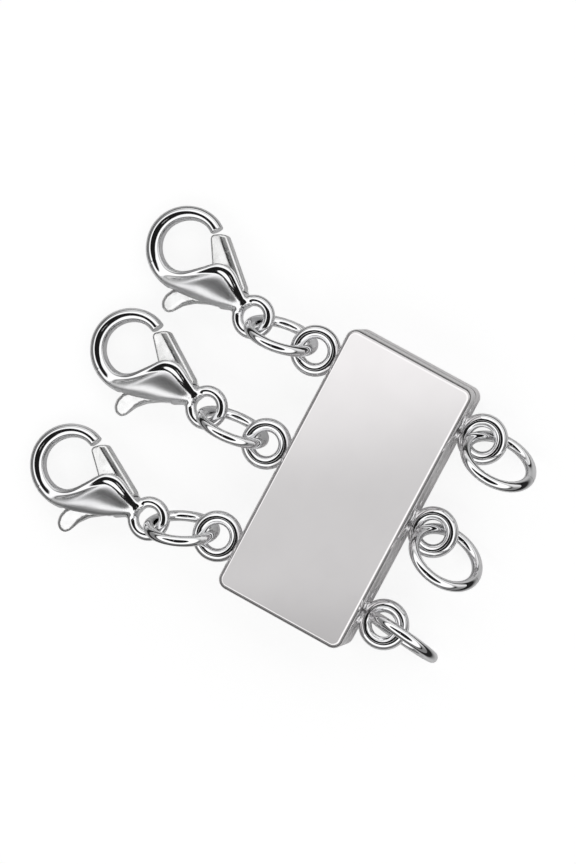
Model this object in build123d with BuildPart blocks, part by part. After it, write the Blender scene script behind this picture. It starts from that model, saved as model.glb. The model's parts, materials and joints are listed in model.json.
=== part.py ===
from build123d import *
from math import asin, cos, degrees, radians, sin, sqrt
import os

os.makedirs("parts", exist_ok=True)

# A three-strand clasp lying on its lower half. Millimetres.
# +X runs from the claw side to the ring side, +Y along the three strands, +Z up.
# The origin is the middle of the lower half's underside.

# Case of two stacked halves
case_length = 21.5
case_width = 10.4
half_height = 2.47
seam_gap = 0.06
corner_radius = 0.8
edge_radius = 0.3

# Raised key on the lower half and its recess in the upper half
key_length = 16.6
key_width = 6.6
key_height = 0.75
key_radius = 0.6
key_play = 0.08
magnet_diameter = 4.8
magnet_height = 0.9
magnet_pitch = 9.0
magnet_play = 0.03
magnet_sink = 0.02

# Loops soldered on the side walls, three to a half, their pitch a share of the case's length
strand_share = 0.3605
loop_outer = 3.8
loop_wire = 1.0
loop_bite = 0.24
loop_to_seam = 0.9

# Round wire rings, each with a fine split
jump_outer = 6.0
jump_wire = 0.8
jump_seat = -0.3
jump_split = 35.0
link_outer = 5.7
link_wire = 0.8
link_play = 0.06
link_split = 80.0
split_gap = 0.05

# Claw clasps. Their own frame has its origin in the tail loop, x to the hook, y to the thumb tab
claw_reach = 7.5
claw_thickness = 3.0
hook_outer = 6.45
hook_wire = 1.2
hook_thickness = 1.36
hook_tip_share = 0.84
hook_rise = 0.15
hook_root_angle = 90.0
hook_end_angle = -108.0
section_round = 0.42
tail_outer = 3.3
tail_wire = 0.86
claw_tilt = 9.6
floor_gap = 0.02

# Spring lever between the claw's cheeks
lever_thickness = 1.2
lever_side_play = 0.06
lever_round = 0.16
pivot_diameter = 0.8
pivot_play = 0.04
pivot_along_share = 0.453
pivot_side_share = 0.161

# How each jump ring leans in its loop: turn about Z, rise of its middle, roll about that line
jump_table = [
    dict(turn=-21.5, rise=25.1, roll=34.6),
    dict(turn=-30.5, rise=22.3, roll=38.1),
    dict(turn=2.4, rise=33.4, roll=-14.2),
]

# How each link ring and claw lies: turns about Z, the ring's roll from upright, how far the ring
# stands to the side of and above the line between its two loops, and its slack along that line
claw_table = [
    dict(link_turn=181.0, roll=-19.0, aside=0.20, above=0.22, claw_turn=163.1, slack=0.10),
    dict(link_turn=179.0, roll=-15.0, aside=0.20, above=0.25, claw_turn=172.0, slack=0.15),
    dict(link_turn=195.5, roll=-20.0, aside=0.08, above=0.06, claw_turn=175.4, slack=0.0),
]

# Sections of the claw's body: place as a share of the reach, edges as shares of the hook's
# outer radius, thickness as a share of the claw's
body_table = [
    dict(at=0.145, low=-0.15, high=0.19, thick=0.28),
    dict(at=0.283, low=-0.22, high=0.44, thick=0.62),
    dict(at=0.425, low=-0.37, high=0.64, thick=0.91),
    dict(at=0.530, low=-0.43, high=0.76, thick=1.00),
    dict(at=0.622, low=-0.30, high=0.85, thick=0.99),
    dict(at=0.721, low=0.15, high=0.94, thick=0.90),
    dict(at=0.820, low=0.48, high=1.00, thick=0.74),
    dict(at=0.919, low=0.62, high=1.04, thick=0.56),
]

# Outline of the lever: along as a share of the reach, side as a share of the hook's outer radius
lever_table = [
    dict(along=0.243, side=-0.20),
    dict(along=0.239, side=-0.33),
    dict(along=0.771, side=-0.865),
    dict(along=0.822, side=-0.775),
    dict(along=0.900, side=-0.58),
    dict(along=0.685, side=-0.16),
    dict(along=0.632, side=0.10),
    dict(along=0.653, side=0.45),
    dict(along=0.793, side=0.95),
    dict(along=0.813, side=1.13),
    dict(along=0.800, side=1.33),
    dict(along=0.735, side=1.46),
    dict(along=0.660, side=1.43),
    dict(along=0.625, side=1.30),
    dict(along=0.594, side=1.02),
    dict(along=0.530, side=0.78),
    dict(along=0.347, side=0.40),
    dict(along=0.326, side=0.19),
    dict(along=0.338, side=-0.03),
]

# Outline of the slot that the lever works in, in the same shares
slot_table = [
    dict(along=0.226, side=-0.75),
    dict(along=0.226, side=-0.11),
    dict(along=0.275, side=0.10),
    dict(along=0.358, side=0.95),
    dict(along=0.358, side=1.30),
    dict(along=0.833, side=1.30),
    dict(along=0.833, side=-0.75),
]

# Worked out from the sizes above
strand_pitch = strand_share * case_length
loop_middle = (loop_outer - loop_wire) / 2
loop_x = case_width / 2 + loop_outer / 2 - loop_bite
lower_loop_z = half_height - loop_to_seam
upper_loop_z = half_height + seam_gap + loop_to_seam
jump_middle = (jump_outer - jump_wire) / 2
link_middle = (link_outer - link_wire) / 2
tail_middle = (tail_outer - tail_wire) / 2
hook_radius = hook_outer / 2
hook_middle = hook_radius - hook_wire / 2
pivot_at = pivot_along_share * claw_reach
pivot_side = pivot_side_share * hook_radius
slot_width = lever_thickness + 2 * lever_side_play
lever_top = lever_thickness / 2


def flat_direction(turn):
    return Vector(cos(radians(turn)), sin(radians(turn)), 0)


def ring_plane(start, radius, turn, rise, roll):
    """Plane of a ring whose circle passes through start and whose middle lies up the rise."""
    out = flat_direction(turn) * cos(radians(rise)) + Vector(0, 0, sin(radians(rise)))
    side = flat_direction(turn + 90)
    normal = side * cos(radians(roll)) + out.cross(side) * sin(radians(roll))
    return Plane(origin=start + out * radius, x_dir=out, z_dir=normal)


def jump_plane(strand):
    row = jump_table[strand]
    loop = Vector(loop_x, strand_y[strand], lower_loop_z)
    start = loop + flat_direction(row["turn"]) * jump_seat
    return ring_plane(start, jump_middle, row["turn"], row["rise"], row["roll"])


def claw_direction(strand):
    along = flat_direction(claw_table[strand]["claw_turn"])
    return along * cos(radians(claw_tilt)) - Vector(0, 0, sin(radians(claw_tilt)))


def link_ends(strand):
    """Middles of the two wires that a link ring holds together: the case's loop, the claw's tail."""
    row = claw_table[strand]
    away = flat_direction(row["link_turn"])
    loop_end = Vector(-loop_x, strand_y[strand], upper_loop_z) + away * loop_middle
    tail_height = ((claw_reach + hook_middle) * sin(radians(claw_tilt))
                   + hook_thickness / 2 * cos(radians(claw_tilt)) + floor_gap)
    turned = radians(row["link_turn"] - row["claw_turn"])
    tail_end_height = tail_height + tail_middle * sin(radians(claw_tilt)) * cos(turned)
    span = 2 * (link_middle - link_play) - loop_wire / 2 - tail_wire / 2 - link_wire - row["slack"]
    run = sqrt(span ** 2 - (loop_end.Z - tail_end_height) ** 2)
    tail_end = loop_end + away * run
    return loop_end, Vector(tail_end.X, tail_end.Y, tail_end_height)


def link_plane(strand):
    row = claw_table[strand]
    loop_end, tail_end = link_ends(strand)
    line = (tail_end - loop_end).normalized()
    reach = link_middle - link_play - loop_wire / 2 - link_wire / 2
    offset = flat_direction(row["link_turn"] + 90) * row["aside"] + Vector(0, 0, row["above"])
    start = loop_end + line * (reach - link_middle) + offset
    return ring_plane(start, link_middle, row["link_turn"], degrees(asin(line.Z)), row["roll"])


def claw_plane(strand):
    """The claw's own frame: origin in the middle of its tail loop."""
    row = claw_table[strand]
    along = claw_direction(strand)
    across = flat_direction(row["claw_turn"] + 90)
    turned = radians(row["link_turn"] - row["claw_turn"])
    tail_end = link_ends(strand)[1]
    middle = tail_end + (along * cos(turned) + across * sin(turned)) * tail_middle
    return Plane(origin=middle, x_dir=along, z_dir=along.cross(across))


def cross_plane(frame, along, side):
    """Plane square to a claw's length: its x runs across the claw, its y up."""
    return Plane(origin=frame.from_local_coords((along, side, 0)), x_dir=frame.y_dir, z_dir=frame.x_dir)


def hook_plane(frame, angle):
    """Plane square to the hook's wire at an angle round it: its x runs outward, its y up."""
    out = frame.x_dir * cos(radians(angle)) + frame.y_dir * sin(radians(angle))
    middle = frame.from_local_coords((claw_reach, hook_rise, 0)) + out * hook_middle
    return Plane(origin=middle, x_dir=out, z_dir=out.cross(frame.z_dir))


def outline_points(table):
    return [(row["along"] * claw_reach, row["side"] * hook_radius) for row in table]


def finish(builder, name):
    builder.part.label = name
    export_step(builder.part, f"parts/{name}.step")


strand_y = [strand_pitch, 0, -strand_pitch]
magnet_y = [-magnet_pitch / 2, magnet_pitch / 2]
upper_floor = half_height + seam_gap
key_top = half_height + key_height
recess_top = key_top + key_play
recess_depth = recess_top - upper_floor

# Lower half: a block with a raised key, three loops on its +X wall and two magnet pockets
with BuildPart() as lower_half:
    with BuildSketch(Plane.XY):
        RectangleRounded(case_width, case_length, corner_radius)
    extrude(amount=half_height)
    fillet(lower_half.faces().sort_by(Axis.Z)[0].edges(), radius=edge_radius)
    with BuildSketch(Plane.XY.offset(half_height)):
        RectangleRounded(key_width, key_length, key_radius)
    extrude(amount=key_height)
    chamfer(lower_half.faces().sort_by(Axis.Z)[-1].edges(), length=key_play)
    with BuildSketch(Plane.XY.offset(key_top)):
        with Locations(*[(0, y) for y in magnet_y]):
            Circle(magnet_diameter / 2 + magnet_play)
    extrude(amount=-(magnet_height + 2 * magnet_sink), mode=Mode.SUBTRACT)
    with Locations(*[(loop_x, y, lower_loop_z) for y in strand_y]):
        Torus(loop_middle, loop_wire / 2)
finish(lower_half, "lower_half")

# Upper half: a cover with a recess over the key, three loops on its -X wall and two pockets
with BuildPart() as upper_half:
    with BuildSketch(Plane.XY.offset(upper_floor)):
        RectangleRounded(case_width, case_length, corner_radius)
    extrude(amount=half_height)
    fillet(upper_half.faces().sort_by(Axis.Z)[-1].edges(), radius=edge_radius)
    with BuildSketch(Plane.XY.offset(upper_floor)):
        RectangleRounded(key_width + 2 * key_play, key_length + 2 * key_play, key_radius + key_play)
    extrude(amount=recess_depth, mode=Mode.SUBTRACT)
    with BuildSketch(Plane.XY.offset(recess_top)):
        with Locations(*[(0, y) for y in magnet_y]):
            Circle(magnet_diameter / 2 + magnet_play)
    extrude(amount=magnet_height + 2 * magnet_sink, mode=Mode.SUBTRACT)
    with Locations(*[(-loop_x, y, upper_loop_z) for y in strand_y]):
        Torus(loop_middle, loop_wire / 2)
finish(upper_half, "upper_half")

# Disc magnets, a pair facing each other at each end of the key
magnet_rows = [
    ("lower_magnet", key_top - magnet_sink - magnet_height),
    ("upper_magnet", recess_top + magnet_sink),
]
for magnet_name, magnet_floor in magnet_rows:
    for number, y in enumerate(magnet_y, start=1):
        with BuildPart() as magnet:
            with BuildSketch(Plane.XY.offset(magnet_floor)):
                with Locations((0, y)):
                    Circle(magnet_diameter / 2)
            extrude(amount=magnet_height)
        finish(magnet, f"{magnet_name}_{number}")


def make_ring(plane, radius, wire, split_angle):
    """A round wire bent to a ring that stops a fine split short of closing."""
    start = plane.x_dir * cos(radians(split_angle)) + plane.y_dir * sin(radians(split_angle))
    sweep_angle = 360 - degrees(split_gap / radius)
    with BuildPart() as ring:
        with BuildSketch(Plane(origin=plane.origin, x_dir=start, z_dir=start.cross(plane.z_dir))):
            with Locations((radius, 0)):
                Circle(wire / 2)
        revolve(axis=Axis(plane.origin, plane.z_dir), revolution_arc=sweep_angle)
    return ring


# Jump rings in the lower half's loops and link rings in the upper half's
for strand in range(len(strand_y)):
    finish(make_ring(jump_plane(strand), jump_middle, jump_wire, jump_split), f"jump_ring_{strand + 1}")
    finish(make_ring(link_plane(strand), link_middle, link_wire, link_split), f"link_ring_{strand + 1}")


def make_claw_body(frame):
    """Hook, cheeks and tail loop as one casting, with the lever's rivet made one with the cheeks."""
    with BuildPart() as body:
        for row in body_table:
            middle = (row["low"] + row["high"]) / 2 * hook_radius
            width = (row["high"] - row["low"]) * hook_radius
            thick = row["thick"] * claw_thickness
            with BuildSketch(cross_plane(frame, row["at"] * claw_reach, middle)):
                RectangleRounded(width, thick, min(width, thick) * section_round)
        with BuildSketch(hook_plane(frame, hook_root_angle)):
            RectangleRounded(hook_wire, hook_thickness, hook_wire * section_round)
        loft()
        with BuildLine(frame):
            CenterArc((claw_reach, hook_rise), hook_middle, hook_root_angle, hook_end_angle - hook_root_angle)
        for angle, share in ((hook_root_angle, 1), (hook_end_angle, hook_tip_share)):
            with BuildSketch(hook_plane(frame, angle)):
                RectangleRounded(hook_wire * share, hook_thickness * share, hook_wire * share * section_round)
        sweep(multisection=True)
        with Locations(frame):
            Torus(tail_middle, tail_wire / 2)
        with BuildSketch(frame.offset(-slot_width / 2)):
            Polygon(*outline_points(slot_table), align=None)
        extrude(amount=slot_width, mode=Mode.SUBTRACT)
        with BuildSketch(frame.offset(-slot_width / 2)):
            with Locations((pivot_at, pivot_side)):
                Circle(pivot_diameter / 2)
        extrude(amount=slot_width)
    return body


def make_lever(frame):
    """Gate, back strip, hub and thumb tab of one plate, drilled for the rivet."""
    with BuildPart() as lever:
        with BuildSketch(frame.offset(-lever_top)):
            Polygon(*outline_points(lever_table), align=None)
            fillet(vertices(), radius=lever_round)
            with Locations((pivot_at, pivot_side)):
                Circle(pivot_diameter / 2 + pivot_play, mode=Mode.SUBTRACT)
        extrude(amount=lever_thickness)
    return lever


for strand in range(len(strand_y)):
    finish(make_claw_body(claw_plane(strand)), f"claw_body_{strand + 1}")
    finish(make_lever(claw_plane(strand)), f"claw_lever_{strand + 1}")
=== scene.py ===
import bpy
import json
import math
import numpy as np
from mathutils import Matrix, Vector


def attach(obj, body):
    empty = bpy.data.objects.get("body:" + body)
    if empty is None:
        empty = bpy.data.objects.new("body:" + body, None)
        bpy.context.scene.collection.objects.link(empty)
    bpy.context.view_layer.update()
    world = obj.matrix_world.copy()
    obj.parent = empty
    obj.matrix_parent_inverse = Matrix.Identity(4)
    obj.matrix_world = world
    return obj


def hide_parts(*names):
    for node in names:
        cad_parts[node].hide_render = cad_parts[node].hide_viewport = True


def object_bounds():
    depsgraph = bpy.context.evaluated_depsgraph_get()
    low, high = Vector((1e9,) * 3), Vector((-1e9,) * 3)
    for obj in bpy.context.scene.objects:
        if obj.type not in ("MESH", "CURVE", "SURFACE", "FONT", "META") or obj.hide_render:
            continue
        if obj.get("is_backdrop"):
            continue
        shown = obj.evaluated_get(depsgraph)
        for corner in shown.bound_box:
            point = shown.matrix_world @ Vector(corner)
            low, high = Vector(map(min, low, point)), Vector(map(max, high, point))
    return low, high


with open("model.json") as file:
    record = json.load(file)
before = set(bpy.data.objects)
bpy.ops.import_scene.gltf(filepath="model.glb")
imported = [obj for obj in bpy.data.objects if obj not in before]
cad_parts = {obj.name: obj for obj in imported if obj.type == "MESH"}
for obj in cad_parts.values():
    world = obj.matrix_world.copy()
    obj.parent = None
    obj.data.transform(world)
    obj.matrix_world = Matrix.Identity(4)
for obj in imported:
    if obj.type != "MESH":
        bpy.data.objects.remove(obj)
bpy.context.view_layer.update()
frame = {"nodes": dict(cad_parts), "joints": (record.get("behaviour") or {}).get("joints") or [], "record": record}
print("frame loaded:", len(frame["nodes"]), "nodes")

mm = 0.001  # the sizes below are real ones in millimetres, the meshes are in metres


# Small tools for node trees

def addNode(tree, kind, settings=None, inputs=None):
    node = tree.nodes.new(kind)
    for key, value in (settings or {}).items():
        setattr(node, key, value)
    for key, value in (inputs or {}).items():
        if isinstance(value, bpy.types.NodeSocket):
            tree.links.new(value, node.inputs[key])
        else:
            node.inputs[key].default_value = value
    return node


def mathNode(tree, operation, *values):
    return addNode(tree, "ShaderNodeMath", {"operation": operation}, dict(enumerate(values))).outputs[0]


def vectorNode(tree, operation, *values):
    node = addNode(tree, "ShaderNodeVectorMath", {"operation": operation}, dict(enumerate(values)))
    return node.outputs["Value" if operation in ("DOT_PRODUCT", "LENGTH") else "Vector"]


def fadeNode(tree, value, fromMin, fromMax, toMin=0.0, toMax=1.0):
    return addNode(tree, "ShaderNodeMapRange", {"interpolation_type": "SMOOTHSTEP"},
                   {"Value": value, "From Min": fromMin, "From Max": fromMax,
                    "To Min": toMin, "To Max": toMax}).outputs[0]


# Shared shader effects. A group gives only values that change over the surface

# a mask fades in between its From and To, which are levels of the noise
effects = {
    "wheelAxis": (0.2, 0.1, 1.0), "wheelTurn": 0.6, "lineFrom": 0.60, "lineTo": 0.74, "lineDetail": 3.0,
    "hazeFrom": 0.35, "hazeTo": 0.7, "hazeDetail": 4.0, "hazeRoughness": 0.6, "waveDetail": 1.0,
}


def newEffect(name, inputs, output):
    # a group over a vector, with numbers as its other inputs
    group = bpy.data.node_groups.new(name, "ShaderNodeTree")
    group.interface.new_socket("Vector", in_out="INPUT", socket_type="NodeSocketVector")
    for socketName, value in inputs.items():
        socket = group.interface.new_socket(socketName, in_out="INPUT", socket_type="NodeSocketFloat")
        socket.default_value = value
    group.interface.new_socket(output, in_out="OUTPUT", socket_type="NodeSocketFloat")
    return group, group.nodes.new("NodeGroupInput").outputs, group.nodes.new("NodeGroupOutput").inputs


def buildPolishLines():
    # fine scratches in two directions, left by the polishing wheel
    group, given, made = newEffect(
        "polishLines", {"Scale": 900.0, "Stretch": 0.04, "Turn": effects["wheelTurn"]}, "Mask")
    masks = []
    for side in (1.0, -1.0):
        turn = mathNode(group, "MULTIPLY", given["Turn"], side)
        spin = addNode(group, "ShaderNodeVectorRotate", {"rotation_type": "AXIS_ANGLE"},
                       {"Vector": given["Vector"], "Axis": effects["wheelAxis"], "Angle": turn})
        squeeze = addNode(group, "ShaderNodeCombineXYZ", None, {"X": 1.0, "Y": given["Stretch"], "Z": 1.0})
        pull = vectorNode(group, "MULTIPLY", spin.outputs[0], squeeze.outputs[0])
        noise = addNode(group, "ShaderNodeTexNoise", None,
                        {"Vector": pull, "Scale": given["Scale"], "Detail": effects["lineDetail"]})
        masks.append(fadeNode(group, noise.outputs["Fac"], effects["lineFrom"], effects["lineTo"]))
    group.links.new(mathNode(group, "MAXIMUM", *masks), made["Mask"])
    return group


def buildHaze():
    # soft cloudy patches of handling and buffing
    group, given, made = newEffect("handlingHaze", {"Scale": 300.0}, "Mask")
    noise = addNode(group, "ShaderNodeTexNoise", None,
                    {"Vector": given["Vector"], "Scale": given["Scale"], "Detail": effects["hazeDetail"],
                     "Roughness": effects["hazeRoughness"]})
    soft = fadeNode(group, noise.outputs["Fac"], effects["hazeFrom"], effects["hazeTo"])
    group.links.new(soft, made["Mask"])
    return group


def buildWaviness():
    # the slow unevenness of a buffed casting, as a height
    group, given, made = newEffect("buffedWaviness", {"Scale": 200.0}, "Height")
    noise = addNode(group, "ShaderNodeTexNoise", None,
                    {"Vector": given["Vector"], "Scale": given["Scale"], "Detail": effects["waveDetail"]})
    group.links.new(noise.outputs["Fac"], made["Height"])
    return group


polishLines = buildPolishLines()
handlingHaze = buildHaze()
buffedWaviness = buildWaviness()


def plateMaterial(name, look):
    material = bpy.data.materials.new(name)
    material.use_nodes = True
    tree = material.node_tree
    shader = tree.nodes["Principled BSDF"].inputs
    shader["Metallic"].default_value = look["metallic"]
    place = addNode(tree, "ShaderNodeTexCoord").outputs["Object"]

    def effect(group, **values):
        return addNode(tree, "ShaderNodeGroup", {"node_tree": group}, {"Vector": place, **values}).outputs[0]

    haze = effect(handlingHaze, Scale=look["hazeScale"])
    lines = effect(polishLines, Scale=look["lineScale"], Stretch=look["lineStretch"])
    waves = effect(buffedWaviness, Scale=look["waveScale"])
    tint = addNode(tree, "ShaderNodeMix", {"data_type": "RGBA"},
                   {"Factor": haze, "A": (*look["colour"], 1.0), "B": (*look["hazeColour"], 1.0)})
    tree.links.new(tint.outputs["Result"], shader["Base Color"])
    rough = addNode(tree, "ShaderNodeMapRange", None,
                    {"Value": haze, "To Min": look["rough"], "To Max": look["hazeRough"]}).outputs[0]
    rough = mathNode(tree, "MULTIPLY_ADD", lines, look["lineRough"], rough)
    if "satinRough" in look:
        satin = addNode(tree, "ShaderNodeAttribute", {"attribute_name": "satin"}).outputs["Fac"]
        rough = mathNode(tree, "MULTIPLY_ADD", satin, look["satinRough"], rough)
    tree.links.new(rough, shader["Roughness"])
    heights = mathNode(tree, "MULTIPLY_ADD", lines, look["lineDepth"], waves)
    bump = addNode(tree, "ShaderNodeBump", None,
                   {"Height": heights, "Distance": look["waveDepth"] * mm, "Strength": 1.0})
    tree.links.new(bump.outputs[0], shader["Normal"])
    return material


# What a user would change about each finish. Colours are linear
finishes = {
    "caseMirror": {
        "metallic": 0.84, "colour": (0.83, 0.81, 0.815), "hazeColour": (0.81, 0.79, 0.795),
        "rough": 0.02, "hazeRough": 0.03, "hazeScale": 220.0, "waveScale": 150.0, "waveDepth": 0.001,
        "lineRough": 0.008, "lineDepth": 0.0, "lineScale": 2600.0, "lineStretch": 0.03,
    },
    "brightWire": {
        "metallic": 1.0, "colour": (0.84, 0.84, 0.845), "hazeColour": (0.80, 0.80, 0.81),
        "rough": 0.02, "hazeRough": 0.04, "hazeScale": 700.0, "waveScale": 500.0, "waveDepth": 0.002,
        "lineRough": 0.02, "lineDepth": 0.04, "lineScale": 3200.0, "lineStretch": 0.05,
    },
    "clawCasting": {
        "metallic": 1.0, "colour": (0.82, 0.82, 0.825), "hazeColour": (0.77, 0.77, 0.78),
        "rough": 0.05, "hazeRough": 0.08, "satinRough": 0.26,
        "hazeScale": 500.0, "waveScale": 350.0, "waveDepth": 0.004,
        "lineRough": 0.03, "lineDepth": 0.03, "lineScale": 3000.0, "lineStretch": 0.05,
    },
    "clawLever": {
        "metallic": 1.0, "colour": (0.80, 0.80, 0.80), "hazeColour": (0.74, 0.74, 0.735),
        "rough": 0.2, "hazeRough": 0.3, "hazeScale": 600.0, "waveScale": 500.0, "waveDepth": 0.003,
        "lineRough": 0.08, "lineDepth": 0.06, "lineScale": 2400.0, "lineStretch": 0.06,
    },
    "magnetNickel": {
        "metallic": 1.0, "colour": (0.62, 0.61, 0.60), "hazeColour": (0.52, 0.51, 0.50),
        "rough": 0.18, "hazeRough": 0.3, "hazeScale": 500.0, "waveScale": 400.0, "waveDepth": 0.002,
        "lineRough": 0.1, "lineDepth": 0.05, "lineScale": 2000.0, "lineStretch": 0.1,
    },
}
materials = {name: plateMaterial(name, look) for name, look in finishes.items()}
print("materials made:", ", ".join(materials))


# Small tools for making pieces

def newPiece(name, points, faces, material):
    mesh = bpy.data.meshes.new(name)
    mesh.from_pydata([tuple(p) for p in points], [], [tuple(f) for f in faces])
    mesh.materials.append(material)
    mesh.update()
    piece = bpy.data.objects.new(name, mesh)
    bpy.context.scene.collection.objects.link(piece)
    return piece


def shadeSmooth(piece, normals=None, sharpAngle=None):
    mesh = piece.data
    mesh.polygons.foreach_set("use_smooth", [True] * len(mesh.polygons))
    if normals is not None:
        mesh.normals_split_custom_set_from_vertices([tuple(n) for n in normals])
    elif sharpAngle is not None:
        mesh.set_sharp_from_angle(angle=math.radians(sharpAngle))
    mesh.update()


def dress(piece, body, nodes):
    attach(piece, body)
    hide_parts(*nodes)


def plainMesh(piece):
    # what the modifiers make becomes the piece's own mesh
    graph = bpy.context.evaluated_depsgraph_get()
    made = bpy.data.meshes.new_from_object(piece.evaluated_get(graph))
    piece.modifiers.clear()
    piece.data = made
    made.name = piece.name


def placeMesh(piece, matrix):
    piece.data.transform(matrix)
    piece.data.update()


def newShapeTree(name, inputs):
    tree = bpy.data.node_groups.new(name, "GeometryNodeTree")
    tree.interface.new_socket("Geometry", in_out="INPUT", socket_type="NodeSocketGeometry")
    for socketName, kind, value in inputs:
        socket = tree.interface.new_socket(socketName, in_out="INPUT", socket_type=kind)
        if value is not None:
            socket.default_value = value
    tree.interface.new_socket("Material", in_out="INPUT", socket_type="NodeSocketMaterial")
    tree.interface.new_socket("Geometry", in_out="OUTPUT", socket_type="NodeSocketGeometry")
    return tree, tree.nodes.new("NodeGroupInput").outputs


def endTree(tree, given, geometry):
    realized = addNode(tree, "GeometryNodeRealizeInstances", None, {0: geometry})
    coated = addNode(tree, "GeometryNodeSetMaterial", None,
                     {"Geometry": realized.outputs[0], "Material": given["Material"]})
    tree.links.new(coated.outputs[0], tree.nodes.new("NodeGroupOutput").inputs[0])


def growShape(piece, tree, values):
    # runs a shape tree with its inputs set, and keeps the result as a plain mesh
    shape = piece.modifiers.new("shape", "NODES")
    shape.node_group = tree
    sockets = {item.name: item.identifier for item in tree.interface.items_tree
               if item.item_type == "SOCKET" and item.in_out == "INPUT"}
    for name, value in values.items():
        shape[sockets[name]] = value
    plainMesh(piece)


# Smooth curves through a few points, and the surfaces that are worked out from them

# how finely that is done, with lengths in millimetres
tracing = {
    "samples": 120, "batch": 40000, "newtonSteps": 3, "leastBend": 0.2, "longestStep": 0.5,
    "slopeReach": 0.002, "settleSteps": 4, "settleShare": 0.6, "leastSlope": 1e-6,
}


class SmoothRow:
    # natural cubic through rows of values, evaluated at any place along it
    def __init__(self, places, rows):
        self.places = np.asarray(places, float)
        self.rows = np.asarray(rows, float)
        steps = np.diff(self.places)
        slopes = np.diff(self.rows, axis=0) / steps[:, None]
        count = len(self.places)
        system = np.eye(count)
        target = np.zeros((count, self.rows.shape[1]))
        for i in range(1, count - 1):
            system[i, i - 1:i + 2] = steps[i - 1], 2 * (steps[i - 1] + steps[i]), steps[i]
            target[i] = 6 * (slopes[i] - slopes[i - 1])
        self.bends = np.linalg.solve(system, target)

    def at(self, t):
        # the value, its slope and its bend
        i = np.clip(np.searchsorted(self.places, t, side="right") - 1, 0, len(self.places) - 2)
        step = self.places[i + 1] - self.places[i]
        a = ((self.places[i + 1] - t) / step)[..., None]
        b = 1 - a
        step = step[..., None]
        value = a * self.rows[i] + b * self.rows[i + 1] + (
            (a ** 3 - a) * self.bends[i] + (b ** 3 - b) * self.bends[i + 1]) * step ** 2 / 6
        slope = (self.rows[i + 1] - self.rows[i]) / step + (
            (3 * b * b - 1) * self.bends[i + 1] - (3 * a * a - 1) * self.bends[i]) * step / 6
        return value, slope, a * self.bends[i] + b * self.bends[i + 1]


def pathThrough(rows):
    rows = np.asarray(rows, float)
    lengths = np.linalg.norm(np.diff(rows[:, :2], axis=0), axis=1)
    return SmoothRow(np.concatenate([[0], np.cumsum(lengths)]), rows)


def nearestOnPath(path, x, y):
    # distance, side and values at the place on the path nearest to x, y: the best of some samples,
    # then a few Newton steps
    shape = np.broadcast(x, y).shape
    flat = np.stack([np.broadcast_to(x, shape).ravel(), np.broadcast_to(y, shape).ravel()], 1)
    end = path.places[-1]
    tries = np.linspace(0, end, tracing["samples"])
    tryPoints = path.at(tries)[0][:, :2]
    batches = np.array_split(flat, 1 + len(flat) // tracing["batch"])
    best = [np.argmin(((batch[:, None] - tryPoints[None]) ** 2).sum(-1), 1) for batch in batches]
    t = tries[np.concatenate(best)]
    longest = tracing["longestStep"]
    for _ in range(tracing["newtonSteps"]):
        value, slope, bend = path.at(t)
        off = value[:, :2] - flat
        first = (off * slope[:, :2]).sum(1)
        second = (slope[:, :2] ** 2).sum(1) + (off * bend[:, :2]).sum(1)
        step = np.clip(first / np.maximum(second, tracing["leastBend"]), -longest, longest)
        t = np.clip(t - step, 0, end)
    value, slope, _ = path.at(t)
    off = flat - value[:, :2]
    side = np.sign(slope[:, 0] * off[:, 1] - slope[:, 1] * off[:, 0])
    return np.linalg.norm(off, axis=1).reshape(shape), side.reshape(shape), value.reshape(*shape, -1)


def polygonDistance(corners, x, y):
    # signed distance to a polygon, below nought inside
    best, inside = np.inf, False
    for (ax, ay), (bx, by) in zip(corners, corners[1:] + corners[:1]):
        ex, ey = bx - ax, by - ay
        share = np.clip(((x - ax) * ex + (y - ay) * ey) / (ex * ex + ey * ey), 0, 1)
        best = np.minimum(best, np.hypot(x - ax - share * ex, y - ay - share * ey))
        crosses = ((ay > y) != (by > y)) & (x < ex * (y - ay) / (ey if ey else 1e-9) + ax)
        inside = inside ^ crosses
    return np.where(inside, -best, best)


def softMin(a, b, blend):
    share = np.clip(0.5 + 0.5 * (b - a) / blend, 0, 1)
    return b + (a - b) * share - blend * share * (1 - share)


def softMax(a, b, blend):
    return -softMin(-a, -b, blend)


def fieldSlope(field, points):
    reach = tracing["slopeReach"]
    slope = np.zeros_like(points)
    for axis in range(3):
        step = np.zeros(3)
        step[axis] = reach
        slope[:, axis] = (field(*(points + step).T) - field(*(points - step).T)) / (2 * reach)
    return slope


def edgeCrossings(values):
    # for each grid cell, how often the surface crosses its edges and the sum of the crossings' places
    counts = values.shape
    total = np.zeros([n - 1 for n in counts] + [3])
    number = np.zeros([n - 1 for n in counts])
    for axis in range(3):
        along = np.moveaxis(values, axis, 0)
        first, second = np.moveaxis(along[:-1], 0, axis), np.moveaxis(along[1:], 0, axis)
        crosses = (first < 0) != (second < 0)
        share = np.where(crosses, first / np.where(crosses, first - second, 1), 0)
        others = [d for d in range(3) if d != axis]
        for corner in ((0, 0), (0, 1), (1, 0), (1, 1)):
            window = [slice(None)] * 3
            for d, start in zip(others, corner):
                window[d] = slice(start, counts[d] - 1 + start)
            hit = crosses[tuple(window)]
            number += hit
            total[..., axis] += hit * share[tuple(window)]
            total[..., others[0]] += hit * corner[0]
            total[..., others[1]] += hit * corner[1]
    return number, total


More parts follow.
